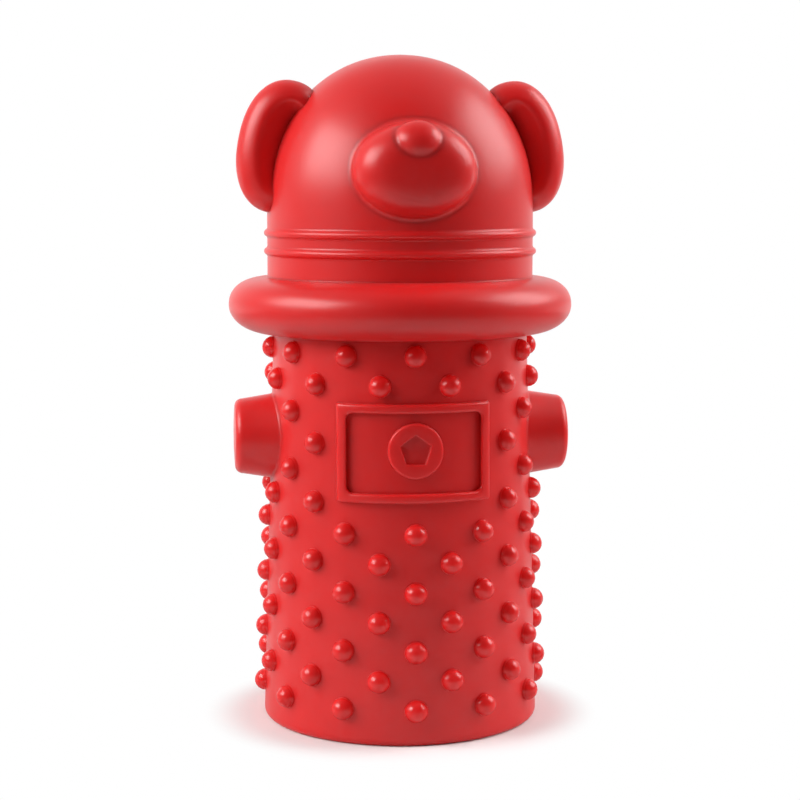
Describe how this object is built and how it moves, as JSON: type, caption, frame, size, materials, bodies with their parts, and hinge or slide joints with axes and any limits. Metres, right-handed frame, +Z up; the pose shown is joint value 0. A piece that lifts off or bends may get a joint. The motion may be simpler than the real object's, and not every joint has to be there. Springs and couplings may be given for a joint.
{
  "type": "pet chew toy",
  "caption": "Hollow rubber chew toy in the form of a nubbed hydrant with a dog's head, a rim collar, side nozzles, a framed badge and a squeaker plug in its base.",
  "frame": {"origin": "centre of the toy's footprint, on the surface that it stands on", "axes": "+Z up along the barrel, the dog's face looks along -Y, +X is on the right seen from the front"},
  "size_m": [0.0776, 0.0776, 0.15],
  "materials": {
    "red_rubber": "moulded satin natural rubber with a faint bloom",
    "ivory_plastic": "moulded polyethylene, satin",
    "reed_film": "smooth polyester film"
  },
  "bodies": {
    "toy": {"barrel": "red_rubber", "collar_ring": "red_rubber", "head": "red_rubber", "ear_left": "red_rubber", "ear_right": "red_rubber", "snout": "red_rubber", "nose": "red_rubber", "nozzle_left": "red_rubber", "nozzle_right": "red_rubber", "badge_frame": "red_rubber", "badge_disc": "red_rubber", "base_plug": "red_rubber", "squeaker_cup": "ivory_plastic", "reed_channel": "ivory_plastic", "reed_clamp": "ivory_plastic"},
    "reed": {"reed": "reed_film"}
  },
  "joints": [
    {"name": "reed_flex", "type": "hinge", "parent": "toy", "child": "reed", "pos_m": [0, 0, 0.007], "axis": [1, 0, 0], "range_deg": [-6, 4], "stiffness_Nm_per_rad": 0.00003}
  ]
}
